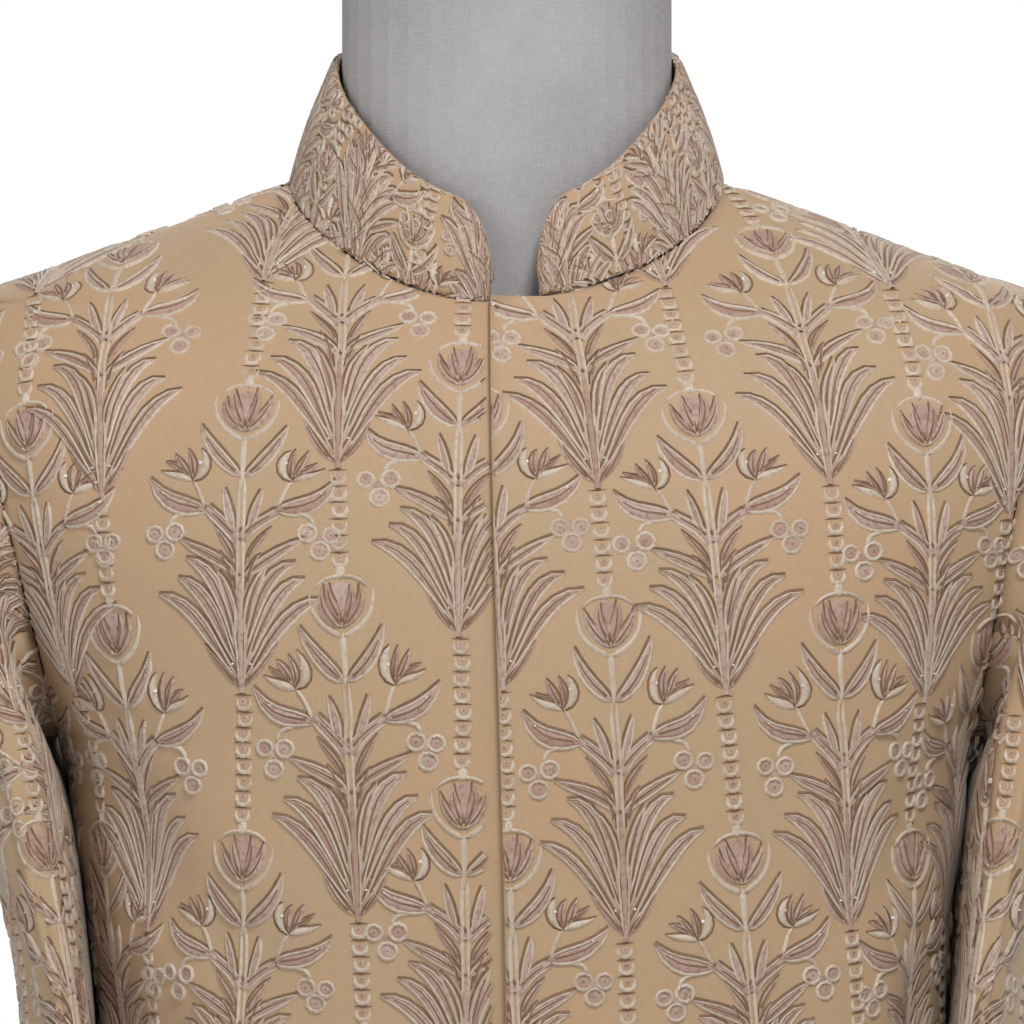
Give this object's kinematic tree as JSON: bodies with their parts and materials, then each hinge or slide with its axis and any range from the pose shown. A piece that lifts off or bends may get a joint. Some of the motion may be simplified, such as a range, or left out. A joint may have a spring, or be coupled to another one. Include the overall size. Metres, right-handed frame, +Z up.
{
  "type": "prince coat on a dress form",
  "caption": "Embroidered prince coat with a stand collar and a concealed front closing, worn by a limbless linen dress form on a pole and a round base.",
  "frame": {"origin": "middle of the base's underside, where the stand rests", "axes": "+Z up, -Y to the coat's front, +X to the wearer's left"},
  "size_m": [0.4597, 0.41, 1.5473],
  "materials": {
    "coat_cloth": "beige gold woven cloth with a soft sheen",
    "embroidery_thread": "raised ivory and pale mauve satin thread",
    "form_linen": "grey slubbed linen, matt",
    "stand_metal": "dark painted steel, satin"
  },
  "bodies": {
    "root": {"front_left": "coat_cloth", "front_right": "coat_cloth", "back_left": "coat_cloth", "back_right": "coat_cloth", "sleeve_left_upper": "coat_cloth", "sleeve_left_under": "coat_cloth", "sleeve_right_upper": "coat_cloth", "sleeve_right_under": "coat_cloth", "collar": "coat_cloth", "form_torso": "form_linen", "form_neck_cap": "stand_metal", "form_pole": "stand_metal", "form_base": "stand_metal"}
  },
  "joints": []
}
